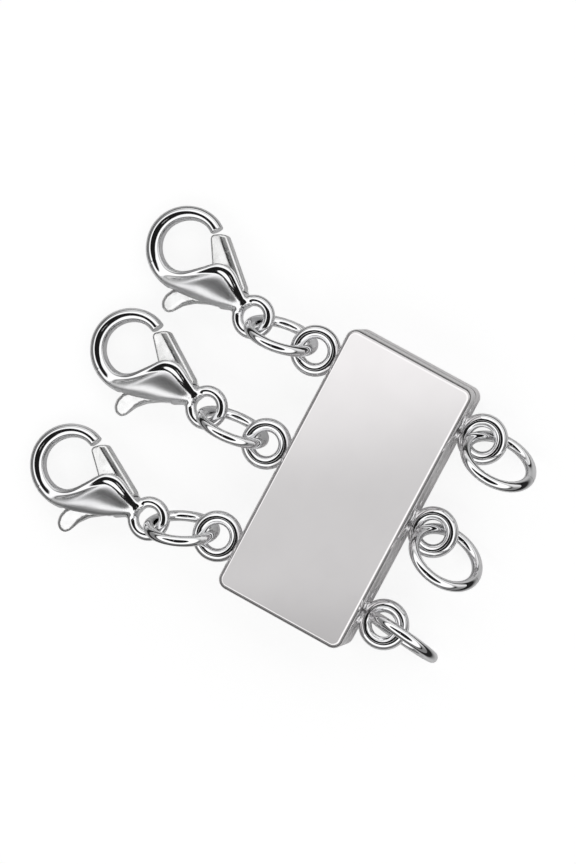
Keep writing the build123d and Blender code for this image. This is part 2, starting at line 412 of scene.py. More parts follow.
def facesAcross(inside, index):
    # one quad round each grid edge that crosses the surface, between the points of its four cells
    counts = inside.shape
    faces = []
    for axis, a, b in ((0, 1, 2), (1, 2, 0), (2, 0, 1)):
        stepA, stepB = np.eye(3, dtype=int)[[a, b]]
        window = [slice(1, n - 1) for n in counts]
        window[axis] = slice(0, counts[axis] - 1)
        ahead = list(window)
        ahead[axis] = slice(1, counts[axis])
        start, stop = inside[tuple(window)], inside[tuple(ahead)]
        for leaves in (True, False):
            cell = np.argwhere((start == leaves) & (stop != leaves)) + stepA + stepB
            around = (cell - stepA - stepB, cell - stepB, cell, cell - stepA)
            quad = np.stack([index[tuple(c.T)] for c in around], 1)
            faces.append(quad if leaves else quad[:, ::-1])
    return np.concatenate(faces)


def meshFromField(field, low, high, cell):
    # a quad mesh of the surface where the field is nought, its points moved onto the surface exactly
    axes = [np.arange(a, b + cell, cell) for a, b in zip(low, high)]
    values = field(axes[0][:, None, None], axes[1][None, :, None], axes[2][None, None, :])
    values = np.broadcast_to(values, [len(a) for a in axes])
    number, total = edgeCrossings(values)
    used = number > 0
    index = np.full(used.shape, -1)
    index[used] = np.arange(used.sum())
    points = np.array(low) + cell * (np.argwhere(used) + total[used] / number[used][:, None])
    for _ in range(tracing["settleSteps"]):
        slope = fieldSlope(field, points)
        steepness = np.maximum((slope ** 2).sum(1), tracing["leastSlope"])
        move = slope * (field(*points.T) / steepness)[:, None]
        length = np.linalg.norm(move, axis=1, keepdims=True)
        points = points - move * np.minimum(1, tracing["settleShare"] * cell / np.maximum(length, 1e-9))
    normals = fieldSlope(field, points)
    normals /= np.linalg.norm(normals, axis=1, keepdims=True)
    return points, facesAcross(values < 0, index), normals


# Case halves

# edgeStart is the angle at which the edge's rounding leaves the flat face, crown how far the lid's
# edges lie below its middle, faceShares where the face's loops run between middle and edge
case = {
    "length": 21.5, "width": 10.4, "halfHeight": 2.47, "seamGap": 0.06,
    "cornerRadius": 0.8, "edgeRadius": 0.5, "edgeStart": 18.0, "seamEdge": 0.28, "crown": 0.006,
    "keyLength": 16.6, "keyWidth": 6.6, "keyHeight": 0.75, "keyRadius": 0.6, "keyPlay": 0.08,
    "magnetDiameter": 4.8, "magnetHeight": 0.9, "magnetPitch": 9.0, "magnetEdge": 0.06,
    "magnetPlay": 0.03, "magnetSink": 0.02, "cutterPast": 0.2,
    "faceShares": (0.06, 0.15, 0.3, 0.45, 0.6, 0.75, 0.88, 0.96),
    "cornerSteps": 16, "runSteps": (8, 12), "edgeSteps": 10, "seamSteps": 4, "roundSteps": 96,
    "sharpAngle": 14.0, "magnetSharpAngle": 50.0,
}
upperFloor = case["halfHeight"] + case["seamGap"]
caseTop = upperFloor + case["halfHeight"]
keyTop = case["halfHeight"] + case["keyHeight"]
recessTop = keyTop + case["keyPlay"]
pocketDepth = case["magnetHeight"] + 2 * case["magnetSink"]
magnetSides = (-case["magnetPitch"] / 2, case["magnetPitch"] / 2)


def roundedLoop(width, length, radius, z):
    # a rounded rectangle, with points along its straight runs that keep the crown smooth
    farX, farY = width / 2 - radius, length / 2 - radius
    corners = [(farX, farY), (-farX, farY), (-farX, -farY), (farX, -farY)]
    loop = []
    for quarter, (middleX, middleY) in enumerate(corners):
        for i in range(case["cornerSteps"] + 1):
            a = math.radians(90 * (quarter + i / case["cornerSteps"]))
            loop.append((middleX + radius * math.cos(a), middleY + radius * math.sin(a), z))
        startX, startY, _ = loop[-1]
        nextX, nextY = corners[(quarter + 1) % 4]
        alongX, alongY = nextX - middleX, nextY - middleY
        steps = case["runSteps"][quarter % 2]
        loop += [(startX + alongX * k / steps, startY + alongY * k / steps, z) for k in range(1, steps)]
    return loop


def outerLoop(inset, z):
    width, length = case["width"] - 2 * inset, case["length"] - 2 * inset
    return roundedLoop(width, length, case["cornerRadius"] - inset, z)


def keyLoop(inset, z):
    # an inset below nought makes the recess's outline
    width, length = case["keyWidth"] - 2 * inset, case["keyLength"] - 2 * inset
    return roundedLoop(width, length, case["keyRadius"] - inset, z)


def outsideLoops():
    # from the middle of the outer face, over the outer edge and down the wall to the seam
    big, small = case["edgeRadius"], case["seamEdge"]
    start = math.radians(case["edgeStart"])
    face = outerLoop(big * (1 - math.sin(start)), 0)
    outlines = [[(x * share, y * share, z) for x, y, z in face] for share in case["faceShares"]]
    for i in range(case["edgeSteps"] + 1):
        a = start + (math.pi / 2 - start) * i / case["edgeSteps"]
        outlines.append(outerLoop(big * (1 - math.sin(a)), big * (math.cos(start) - math.cos(a))))
    for i in range(case["seamSteps"] + 1):
        a = math.pi / 2 * i / case["seamSteps"]
        outlines.append(outerLoop(small * (1 - math.cos(a)), case["halfHeight"] - small * (1 - math.sin(a))))
    return outlines


def roundPiece(name, radius, y, low, high, edge=0.0):
    # a disc whose middle is on the Y axis, its rims broken by a small edge where it has one
    levels = [(radius, low), (radius, high)]
    if edge:
        levels = [(radius - edge, low), (radius, low + edge), (radius, high - edge), (radius - edge, high)]
    steps = case["roundSteps"]
    turns = [2 * math.pi * i / steps for i in range(steps)]
    points = [(r * math.cos(a), y + r * math.sin(a), z) for r, z in levels for a in turns]
    faces = []
    for k in range(0, (len(levels) - 1) * steps, steps):
        for i in range(steps):
            j = (i + 1) % steps
            faces.append((k + i, k + j, k + steps + j, k + steps + i))
    faces.append(tuple(range(steps))[::-1])
    faces.append(tuple(range((len(levels) - 1) * steps, len(levels) * steps)))
    return newPiece(name, np.array(points) * mm, faces, materials["magnetNickel"])


def cutPockets(piece, low, high):
    radius = case["magnetDiameter"] / 2 + case["magnetPlay"]
    cutters = [roundPiece(f"{piece.name}Pocket{i}", radius, y, low, high) for i, y in enumerate(magnetSides)]
    for cutter in cutters:
        cut = piece.modifiers.new("pocket", "BOOLEAN")
        cut.operation, cut.solver, cut.object = "DIFFERENCE", "EXACT", cutter
    plainMesh(piece)
    for cutter in cutters:
        bpy.data.objects.remove(cutter)


def buildHalf(name, keyLoops):
    # a half as the lower one lies, its outer face on the floor
    outlines = outsideLoops() + keyLoops
    count = len(outlines[0])
    points = [p for outline in outlines for p in outline]
    faces = []
    for row in range(len(outlines) - 1):
        for i in range(count):
            a, b = row * count + i, row * count + (i + 1) % count
            faces.append((a, a + count, b + count, b))
    faces.append(tuple(range(count)))
    faces.append(tuple(range((len(outlines) - 1) * count, len(outlines) * count))[::-1])
    return newPiece(name, np.array(points) * mm, faces, materials["caseMirror"])


def crownLid(piece):
    # a buffed face is a little higher in its middle than at its edges
    halfWidth, halfLength = case["width"] / 2 * mm, case["length"] / 2 * mm
    for v in piece.data.vertices:
        share = max(0, (v.co.z / mm - upperFloor) / case["halfHeight"])
        middle = max(0, 1 - (v.co.x / halfWidth) ** 2) * max(0, 1 - (v.co.y / halfLength) ** 2)
        v.co.z -= case["crown"] * mm * share * (1 - middle)


raisedKey = [keyLoop(0, case["halfHeight"]), keyLoop(0, keyTop - case["keyPlay"]),
             keyLoop(case["keyPlay"], keyTop)]
lowerCase = buildHalf("lowerCase", raisedKey)
cutPockets(lowerCase, keyTop - pocketDepth, keyTop + case["cutterPast"])

recessFloor = caseTop - recessTop
openRecess = [keyLoop(-case["keyPlay"], case["halfHeight"]), keyLoop(-case["keyPlay"], recessFloor)]
upperCase = buildHalf("upperCase", openRecess)
cutPockets(upperCase, recessFloor - pocketDepth, recessFloor + case["cutterPast"])
placeMesh(upperCase, Matrix.Translation((0, 0, caseTop * mm)) @ Matrix.Rotation(math.pi, 4, "X"))
crownLid(upperCase)

for half, body, node in ((lowerCase, "root", "lower_half"), (upperCase, "upper", "upper_half")):
    shadeSmooth(half, sharpAngle=case["sharpAngle"])
    dress(half, body, [node])

for rowName, body, low in (("lower", "root", keyTop - case["magnetSink"] - case["magnetHeight"]),
                           ("upper", "upper", recessTop + case["magnetSink"])):
    for i, y in enumerate(magnetSides, start=1):
        magnet = roundPiece(f"{rowName}Magnet{i}", case["magnetDiameter"] / 2, y, low,
                            low + case["magnetHeight"], edge=case["magnetEdge"])
        shadeSmooth(magnet, sharpAngle=case["magnetSharpAngle"])
        dress(magnet, body, [f"{rowName}_magnet_{i}"])
print("case made")


# Loops soldered on the side walls

# bite is how far a loop reaches into the wall, toSeam how far its middle lies from the seam
loops = {
    "outer": 3.8, "wire": 1.0, "bite": 0.24, "toSeam": 0.9, "count": 3, "pitchShare": 0.3605,
    "solderBlend": 0.1, "solderLift": 0.012, "solderCut": 0.75, "cell": 0.055, "margin": 0.12, "boxHalf": 0.9,
}
strandPitch = loops["pitchShare"] * case["length"]
loopMiddle = (loops["outer"] - loops["wire"]) / 2
loopX = case["width"] / 2 + loops["outer"] / 2 - loops["bite"]
lowerLoopZ = case["halfHeight"] - loops["toSeam"]
upperLoopZ = upperFloor + loops["toSeam"]


def loopField(x, y, z):
    # a round wire ring that runs out softly onto the wall
    ring = np.hypot(np.hypot(x, y) - loopMiddle, z) - loops["wire"] / 2
    wall = x - (case["width"] / 2 - loopX) + loops["solderLift"]
    soldered = softMin(ring, wall, loops["solderBlend"])
    return np.maximum(soldered, ring - loops["solderCut"] * loops["solderBlend"])


def buildRowTree():
    tree, given = newShapeTree("rowOfLoops", [
        ("Count", "NodeSocketInt", 3), ("Pitch", "NodeSocketFloat", 0.008),
        ("Place", "NodeSocketVector", None)])
    step = addNode(tree, "ShaderNodeCombineXYZ", None, {"Y": given["Pitch"]})
    row = addNode(tree, "GeometryNodeMeshLine", {"mode": "OFFSET"},
                  {"Count": given["Count"], "Start Location": given["Place"], "Offset": step.outputs[0]})
    copies = addNode(tree, "GeometryNodeInstanceOnPoints", None,
                     {"Points": row.outputs[0], "Instance": given["Geometry"]})
    endTree(tree, given, copies.outputs[0])
    return tree


loopReach = loops["outer"] / 2 + loops["margin"]
loopPoints, loopFaces, loopNormals = meshFromField(
    loopField, (-loopReach, -loopReach, -loops["boxHalf"]), (loopReach, loopReach, loops["boxHalf"]),
    loops["cell"])
rowTree = buildRowTree()
for name, body, node, side, z in (("lowerLoops", "root", "lower_half", 1, lowerLoopZ),
                                  ("upperLoops", "upper", "upper_half", -1, upperLoopZ)):
    row = newPiece(name, loopPoints * mm, loopFaces, materials["brightWire"])
    shadeSmooth(row, normals=loopNormals)
    if side < 0:
        placeMesh(row, Matrix.Rotation(math.pi, 4, "Z"))
    growShape(row, rowTree, {
        "Count": loops["count"], "Pitch": strandPitch * mm,
        "Place": (side * loopX * mm, -strandPitch * mm, z * mm), "Material": materials["brightWire"]})
    dress(row, body, [node])
print("loops made")


# Wire rings, each bent from round wire with a fine split

# the splits are angles round the ring, from the side away from its loop on the case
rings = {
    "jumpOuter": 6.0, "linkOuter": 5.7, "wire": 0.8, "jumpSplit": 35.0, "linkSplit": 80.0, "gap": 0.02,
    "around": 220, "section": 40, "sharpAngle": 50.0, "fitSteps": 3,
}


def buildRingTree():
    tree, given = newShapeTree("wireRing", [
        ("Radius", "NodeSocketFloat", 0.002), ("Wire Radius", "NodeSocketFloat", 0.0004),
        ("Start", "NodeSocketFloat", 0.0), ("Sweep", "NodeSocketFloat", 6.2),
        ("Around", "NodeSocketInt", 200), ("Section", "NodeSocketInt", 32)])
    arc = addNode(tree, "GeometryNodeCurveArc", {"mode": "RADIUS"},
                  {"Resolution": given["Around"], "Radius": given["Radius"],
                   "Start Angle": given["Start"], "Sweep Angle": given["Sweep"]})
    profile = addNode(tree, "GeometryNodeCurvePrimitiveCircle", {"mode": "RADIUS"},
                      {"Resolution": given["Section"], "Radius": given["Wire Radius"]})
    wire = addNode(tree, "GeometryNodeCurveToMesh", None,
                   {"Curve": arc.outputs[0], "Profile Curve": profile.outputs[0], "Fill Caps": True})
    endTree(tree, given, wire.outputs[0])
    return tree


def ringPlace(node):
    # middle and axis of a CAD ring: the plane through its points, then the circle in that plane
    mesh = frame["nodes"][node].data
    points = np.empty(len(mesh.vertices) * 3)
    mesh.vertices.foreach_get("co", points)
    points = points.reshape(-1, 3)
    axis = np.linalg.svd(points - points.mean(0), full_matrices=False)[2][2]
    middle = (points.max(0) + points.min(0)) / 2
    for _ in range(rings["fitSteps"]):
        across = points - middle
        flat = across - np.outer(across @ axis, axis)
        reach = np.linalg.norm(flat, axis=1)
        # the middle is off by twice the mean of the points' errors along their own radius
        middle = middle + (flat * (1 - np.median(reach) / reach)[:, None]).mean(0) * 2
    return Vector(middle), Vector(axis)


ringTree = buildRingTree()


def buildRing(name, node, body, outer, split, loopPoint, axisSide):
    # a ring's own x points from its loop on the case through its middle, its axis to the given side
    middle, axis = ringPlace(node)
    if axis.dot(Vector(axisSide)) < 0:
        axis = -axis
    out = middle - Vector(loopPoint)
    out = (out - axis * out.dot(axis)).normalized()
    radius = (outer - rings["wire"]) / 2
    piece = newPiece(name, [], [], materials["brightWire"])
    growShape(piece, ringTree, {
        "Radius": radius * mm, "Wire Radius": rings["wire"] / 2 * mm, "Start": math.radians(split),
        "Sweep": 2 * math.pi - rings["gap"] / radius, "Around": rings["around"],
        "Section": rings["section"], "Material": materials["brightWire"]})
    placeMesh(piece, Matrix((out, axis.cross(out), axis)).transposed().to_4x4())
    placeMesh(piece, Matrix.Translation(middle))
    shadeSmooth(piece, sharpAngle=rings["sharpAngle"])
    dress(piece, body, [node])


for k, y in enumerate((strandPitch, 0.0, -strandPitch), start=1):
    buildRing(f"jumpRing{k}", f"jump_ring_{k}", "root", rings["jumpOuter"], rings["jumpSplit"],
              (loopX * mm, y * mm, lowerLoopZ * mm), (0, 1, 0))
    buildRing(f"linkRing{k}", f"link_ring_{k}", "upper", rings["linkOuter"], rings["linkSplit"],
              (-loopX * mm, y * mm, upperLoopZ * mm), (0, -1, 0))
print("rings made")


# Claw castings. Their own frame has its origin in the tail loop, x to the hook, y to the thumb tab

# reach, hookRise and hookRadius give the hook's middle and size, endTurn and endBelow its end,
# domeUnder how far the cheek's section goes on under the rim, as a share of its width
claw = {
    "reach": 7.5, "drawnReach": 7.2, "hookRise": 0.15, "hookRadius": 3.225,
    "tailOuter": 3.3, "tailWire": 0.86, "tailBlend": 0.3, "holeBlend": 0.1,
    "rimBlend": 0.18, "ridge": 0.12, "ridgeSoft": 0.08, "domePower": 2.3, "domeUnder": 0.1,
    "endTurn": -108.0, "endBelow": -1.5, "endBlend": 0.1, "slotWidth": 1.32, "slotEdge": 0.05,
    "pivotAlongShare": 0.453, "pivotSideShare": 0.161, "rivet": 0.8, "rivetSink": 0.1,
    "satinFade": 0.3, "satinTailFade": 0.8, "satinHookFade": 1.5,
    "cell": 0.06, "boxLow": (-1.769, -3.291, -1.65), "boxHigh": (10.931, 3.609, 1.65),
}
pivotAlong = claw["pivotAlongShare"] * claw["reach"]
pivotSide = claw["pivotSideShare"] * claw["hookRadius"]
tailMiddle = (claw["tailOuter"] - claw["tailWire"]) / 2

grow = claw["reach"] / claw["drawnReach"]  # the rows below are drawn for a slightly shorter claw

# crest line of the rim and hook, from the tail to the hook's end: place, half width, half thickness
# and how much flatter than round its top is
crestRows = [
    {"x": 1.10, "y": -0.30, "half": 0.30, "high": 0.62, "flat": 1.0},
    {"x": 1.90, "y": -0.55, "half": 0.32, "high": 1.00, "flat": 1.25},
    {"x": 2.70, "y": -0.80, "half": 0.36, "high": 1.18, "flat": 1.6},
    {"x": 3.45, "y": -0.93, "half": 0.38, "high": 1.31, "flat": 1.6},
    {"x": 4.02, "y": -0.70, "half": 0.38, "high": 1.36, "flat": 1.6},
    {"x": 4.50, "y": -0.02, "half": 0.38, "high": 1.34, "flat": 1.6},
    {"x": 4.95, "y": 0.72, "half": 0.38, "high": 1.24, "flat": 1.6},
    {"x": 5.50, "y": 1.50, "half": 0.40, "high": 1.06, "flat": 1.6},
    {"x": 6.25, "y": 2.12, "half": 0.46, "high": 0.86, "flat": 1.25},
    {"x": 7.20, "y": 2.47, "half": 0.55, "high": 0.72, "flat": 1.15},
    {"x": 8.25, "y": 2.27, "half": 0.60, "high": 0.68, "flat": 1.0},
    {"x": 9.15, "y": 1.55, "half": 0.58, "high": 0.68, "flat": 0.95},
    {"x": 9.62, "y": 0.50, "half": 0.575, "high": 0.67, "flat": 0.95},
    {"x": 9.52, "y": -0.65, "half": 0.56, "high": 0.65, "flat": 0.95},
    {"x": 8.90, "y": -1.65, "half": 0.52, "high": 0.62, "flat": 1.0},
    {"x": 7.95, "y": -2.28, "half": 0.48, "high": 0.59, "flat": 1.0},
    {"x": 6.95, "y": -2.43, "half": 0.46, "high": 0.57, "flat": 1.0},
    {"x": 5.95, "y": -2.15, "half": 0.47, "high": 0.56, "flat": 1.0},
]
# the domed cheeks along the claw: lower edge at the crest line, upper edge, half thickness
domeRows = [
    {"x": 1.00, "low": -0.28, "high": 0.52, "thick": 0.55},
    {"x": 1.60, "low": -0.46, "high": 0.92, "thick": 0.96},
    {"x": 2.40, "low": -0.72, "high": 1.50, "thick": 1.22},
    {"x": 3.20, "low": -0.90, "high": 1.98, "thick": 1.38},
    {"x": 4.00, "low": -0.70, "high": 2.34, "thick": 1.48},
    {"x": 4.80, "low": 0.46, "high": 2.66, "thick": 1.42},
    {"x": 5.60, "low": 1.60, "high": 2.93, "thick": 1.20},
    {"x": 6.40, "low": 2.20, "high": 3.12, "thick": 0.94},
    {"x": 7.20, "low": 2.46, "high": 3.14, "thick": 0.70},
    {"x": 8.00, "low": 2.34, "high": 2.94, "thick": 0.50},
]
# the slot that the lever works in: place along as a share of the reach, side as a share of the hook's radius
slotShares = [(0.226, -0.75), (0.226, -0.11), (0.275, 0.10), (0.358, 0.95), (0.358, 1.30),
              (0.833, 1.30), (0.833, -0.75)]


def fromShares(shares):
    return [(along * claw["reach"], side * claw["hookRadius"]) for along, side in shares]


slotPoints = fromShares(slotShares)
crestPath = pathThrough([[row["x"] * grow, row["y"] * grow, row["half"] * grow, row["high"], row["flat"]]
                         for row in crestRows])
domeShape = SmoothRow([row["x"] * grow for row in domeRows],
                      [[row["low"] * grow, row["high"] * grow, row["thick"]] for row in domeRows])
domeStart, domeEnd = domeShape.places[0], domeShape.places[-1]


def rimField(distance, value, x, y, z):
    # round in section but for a low soft ridge along its crest, and cut off square at the hook's end
    half, high, flat = value[..., 2], value[..., 3], value[..., 4]
    soft = claw["ridgeSoft"]
    offset = claw["ridge"] * half
    across = np.hypot(distance, soft) - soft + offset
    edge = np.hypot(half, soft) - soft + offset
    rise = np.sqrt(edge ** 2 - offset ** 2) / half
    up = np.maximum(np.abs(z) - (high - half / flat), 0) * flat * rise
    wire = np.hypot(across, up) - edge
    turn = math.radians(claw["endTurn"])
    past = (x - claw["reach"]) * math.sin(turn) - (y - claw["hookRise"]) * math.cos(turn)
    return np.where(y < claw["endBelow"], softMax(wire, past, claw["endBlend"]), wire)


def domeField(distance, side, x, y, z):
    # the cheek's section begins under the rim and is cut off there, so that it rises from the crest line
    value = domeShape.at(np.clip(x, domeStart, domeEnd) + 0 * y)[0]
    low, high, thick = value[..., 0], value[..., 1], value[..., 2]
    low = low - claw["domeUnder"] * (high - low)
    power = claw["domePower"]
    across = np.abs(y - (low + high) / 2) / ((high - low) / 2)
    size = (across ** power + (np.abs(z) / thick) ** power) ** (1 / power)
    dome = (size - 1) * np.minimum((high - low) / 2, thick)
    return np.maximum(np.maximum(dome, -side * distance), np.maximum(domeStart - x, x - domeEnd))


def clawField(x, y, z):
    distance, side, value = nearestOnPath(crestPath, x, y)
    body = softMin(domeField(distance, side, x, y, z), rimField(distance, value, x, y, z), claw["rimBlend"])
    tail = np.hypot(np.hypot(x, y) - tailMiddle, z) - claw["tailWire"] / 2
    body = softMin(body, tail, claw["tailBlend"])
    hole = tailMiddle - claw["tailWire"] / 2 - np.hypot(x, y)
    body = softMax(body, hole, claw["holeBlend"])
    fromSlotWall = np.abs(z) - claw["slotWidth"] / 2
    slot = np.maximum(polygonDistance(slotPoints, x, y), fromSlotWall)
    body = softMax(body, -slot, claw["slotEdge"])
    rivet = np.hypot(x - pivotAlong, y - pivotSide) - claw["rivet"] / 2
    return np.minimum(body, np.maximum(rivet, fromSlotWall - claw["rivetSink"]))


def satinShare(points):
    # the cheeks are left satin by tumbling, the rim and hook are buffed bright
    x, y, z = points.T
    distance, side, value = nearestOnPath(crestPath, x, y)
    share = rimField(distance, value, x, y, z) - domeField(distance, side, x, y, z)
    share = np.clip(share / claw["satinFade"], 0, 1)
    share *= np.clip((domeEnd - x) / claw["satinHookFade"], 0, 1)
    return share * np.clip((x - domeStart) / claw["satinTailFade"], 0, 1)


clawMesh = meshFromField(clawField, claw["boxLow"], claw["boxHigh"], claw["cell"])
clawSatin = satinShare(clawMesh[0]).astype(np.float32)
print("claw casting worked out:", len(clawMesh[1]), "faces")


# Spring lever: gate, back strip and thumb tab in one plate, in the same frame and shares

# its faces fall by gateSlope and stripSlope to either side of a ridge along the back, by gateFall at
# most, and by tabSlope past tabStart
lever = {
    "thickness": 1.2, "edge": 0.2, "cornerRadius": 0.32, "arcSteps": 6, "arcRoom": 0.95, "pivotPlay": 0.04,
    "ridgeInset": 0.5, "ridgeRound": 0.07, "gateSlope": 0.21, "stripSlope": 0.26,
    "gateFall": 0.36, "gateBlend": 0.2, "gateEnd": 0.5,
    "tabStart": 2.3, "tabSlope": 0.21, "tabEdge": 0.45, "tabRadius": 0.75, "tabBlend": 0.5,
    "cell": 0.05, "boxLow": (1.52, -3.06, -0.725), "boxHigh": (7.02, 5.04, 0.725),
}
leverShares = [
    (0.243, -0.20), (0.239, -0.33), (0.771, -0.865), (0.822, -0.775), (0.900, -0.58),
    (0.685, -0.16), (0.632, 0.10), (0.653, 0.45), (0.793, 0.95), (0.813, 1.13), (0.800, 1.33),
    (0.735, 1.46), (0.660, 1.43), (0.625, 1.30), (0.594, 1.02), (0.530, 0.78), (0.347, 0.40),
    (0.326, 0.19), (0.338, -0.03),
]


def roundedOutline(corners, radii):
    # the outline with each corner turned in a small arc
    outline = []
    steps = lever["arcSteps"]
    corners = [np.array(corner) for corner in corners]
    befores, afters = corners[-1:] + corners[:-1], corners[1:] + corners[:1]
    for before, corner, after, radius in zip(befores, corners, afters, radii):
        into, out = corner - before, after - corner
        room = min(np.linalg.norm(into), np.linalg.norm(out)) / 2
        into, out = into / np.linalg.norm(into), out / np.linalg.norm(out)
        turn = math.atan2(into[0] * out[1] - into[1] * out[0], into @ out)
        bend = abs(math.tan(turn / 2))
        cut = min(radius * bend, room * lever["arcRoom"])
        inward = np.array([-into[1], into[0]]) * math.copysign(1, turn)
        middle = corner - into * cut + inward * cut / bend
        spoke = corner - into * cut - middle
        for i in range(steps + 1):
            a = turn * i / steps
            outline.append((middle[0] + spoke[0] * math.cos(a) - spoke[1] * math.sin(a),
                            middle[1] + spoke[0] * math.sin(a) + spoke[1] * math.cos(a)))
    return outline


leverCorners = fromShares(leverShares)
leverRadii = [lever["tabRadius" if y > lever["tabStart"] else "cornerRadius"] for _, y in leverCorners]
leverOutline = roundedOutline(leverCorners, leverRadii)
backStart, backEnd = (np.array(p) for p in leverCorners[1:3])
backLine = (backEnd - backStart) / np.linalg.norm(backEnd - backStart)


def leverField(x, y, z):
    flat = polygonDistance(leverOutline, x, y)
    # both faces fall away from a low ridge along the back, and again towards the tab's end
    inward = (y - backStart[1]) * backLine[0] - (x - backStart[0]) * backLine[1] - lever["ridgeInset"]
    slope = np.where(inward > 0, lever["gateSlope"], lever["stripSlope"])
    fall = slope * (np.hypot(inward, lever["ridgeRound"]) - lever["ridgeRound"])
    fall = softMin(fall, lever["gateFall"], lever["gateBlend"])
    tabFall = lever["tabSlope"] * np.maximum(y - lever["tabStart"], 0)
    half = lever["thickness"] / 2 - np.where(y < lever["gateEnd"], fall, tabFall)
    onTab = np.clip(y - lever["tabStart"] + lever["tabBlend"], 0, 1)
    edge = lever["edge"] + (lever["tabEdge"] - lever["edge"]) * onTab
    out, up = flat + edge, np.abs(z) - half + edge
    plate = np.hypot(np.maximum(out, 0), np.maximum(up, 0)) - edge + np.minimum(np.maximum(out, up), 0)
    hole = claw["rivet"] / 2 + lever["pivotPlay"] - np.hypot(x - pivotAlong, y - pivotSide)
    return np.maximum(plate, hole)


leverMesh = meshFromField(leverField, lever["boxLow"], lever["boxHigh"], lever["cell"])
print("lever worked out:", len(leverMesh[1]), "faces")


def clawMatrix(k):
    # the claw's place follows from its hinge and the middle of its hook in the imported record
    joint = next(j for j in frame["joints"] if j["name"] == f"lever_pivot_{k}")
    mount = next(m for m in frame["record"]["mounts"] if m["name"] == f"claw_hook_{k}")
    up = Vector(joint["axis"]).normalized()
    span = Vector(mount["pos_m"]) - Vector(joint["pos_m"])
    ownAngle = math.atan2(claw["hookRise"] - pivotSide, claw["reach"] - pivotAlong)
    along = (Matrix.Rotation(-ownAngle, 3, up) @ span).normalized()
    across = up.cross(along)
    origin = Vector(mount["pos_m"]) - along * claw["reach"] * mm - across * claw["hookRise"] * mm
    return Matrix.Translation(origin) @ Matrix((along, across, up)).transposed().to_4x4()


def placeShape(name, shape, place, material):
    points, faces, normals = shape
    turn = np.array(place.to_3x3())
    piece = newPiece(name, points * mm @ turn.T + np.array(place.translation), faces, material)
    shadeSmooth(piece, normals=normals @ turn.T)
    return piece


for k in (1, 2, 3):
    place = clawMatrix(k)
    casting = placeShape(f"clawBody{k}", clawMesh, place, materials["clawCasting"])
    satin = casting.data.attributes.new("satin", "FLOAT", "POINT")
    satin.data.foreach_set("value", clawSatin)
    dress(casting, "upper", [f"claw_body_{k}"])
    plate = placeShape(f"clawLever{k}", leverMesh, place, materials["clawLever"])
    dress(plate, f"lever_{k}", [f"claw_lever_{k}"])
print("claws made")


# Floor, light and camera

# opening, horizon and haze are angles in degrees. Mirrors see the floor bright in a box round the
# object, and it fades over floorFade beyond that box
stage = {
    "cameraDirection": (0.149, 0.109, 0.982), "imageUp": (-0.473, 0.873, -0.025), "distance": 352.9,
    "target": (-5.95, 1.46, 2.77), "lens": 200.0, "sensor": 36.0, "clipStart": 0.01, "clipEnd": 5.0,
    "floorSize": 600.0, "floorColour": (0.22, 0.22, 0.22), "floorGlow": 0.85, "floorRoughness": 0.9,
    "floorGlossNear": 0.85, "floorGlossFar": 0.03, "floorFade": (2.0, 12.0),
    "nearMiddle": (-5.0, -0.5, 0.0), "nearHalf": (14.5, 9.5, 0.0),
    "worldStrength": 1.3, "backdrop": 0.76,
    "openingFrom": (0.036, 0.026, 0.999), "openingTo": (-0.464, -0.013, 0.885),
    "openingInner": 29.0, "openingOuter": 33.0, "openingTaper": 14.0, "openingLevel": 0.01,
    "horizonLow": 23.0, "horizonHigh": 33.0, "horizonLift": 0.5, "liftFrom": 0.1, "liftTo": 0.8,
    "hazeLow": 17.0, "hazeHigh": 22.0, "hazeLevel": 0.2,
    "cardDirection": (-0.1335, -0.1143, 0.986), "cardHalf": (0.027, 0.043), "cardSoft": 0.008,
    "cardUp": (-0.476, 0.879, 0.0), "cardMiddle": 0.57,
    "cardRise": (-0.004, 0.032, 0.32), "cardFall": (0.018, 0.036, 0.15),
}


def buildFloor():
    # pale, with a glow that keeps its shadows faint. Mirrors see no glow, and a dark floor farther off
    material = bpy.data.materials.new("paleFloor")
    material.use_nodes = True
    tree = material.node_tree
    shader = tree.nodes["Principled BSDF"].inputs
    shader["Roughness"].default_value = stage["floorRoughness"]
    shader["Specular IOR Level"].default_value = 0.0
    forCamera = addNode(tree, "ShaderNodeLightPath").outputs["Is Camera Ray"]
    off = addNode(tree, "ShaderNodeTexCoord").outputs["Object"]
    off = vectorNode(tree, "SUBTRACT", off, Vector(stage["nearMiddle"]) * mm)
    off = vectorNode(tree, "ABSOLUTE", off)
    off = vectorNode(tree, "SUBTRACT", off, Vector(stage["nearHalf"]) * mm)
    off = vectorNode(tree, "MAXIMUM", off, (0.0, 0.0, 0.0))
    near, far = stage["floorFade"]
    gloss = fadeNode(tree, vectorNode(tree, "LENGTH", off), near * mm, far * mm,
                     stage["floorGlossNear"], stage["floorGlossFar"])
    pick = addNode(tree, "ShaderNodeMix", {"data_type": "RGBA"},
                   {"Factor": forCamera, "A": gloss, "B": (*stage["floorColour"], 1.0)})
    tree.links.new(pick.outputs["Result"], shader["Base Color"])
    shader["Emission Color"].default_value = (1.0, 1.0, 1.0, 1.0)
    tree.links.new(mathNode(tree, "MULTIPLY", forCamera, stage["floorGlow"]), shader["Emission Strength"])
    half = stage["floorSize"] / 2 * mm
    floor = newPiece("paleFloor", [(-half, -half, 0), (half, -half, 0), (half, half, 0), (-half, half, 0)],
                     [(0, 1, 2, 3)], material)
    floor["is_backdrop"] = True


def chord(angle):
    # straight distance between two directions that are an angle apart
    return 2 * math.sin(math.radians(angle) / 2)


def heightOf(angle):
    return math.sin(math.radians(angle))


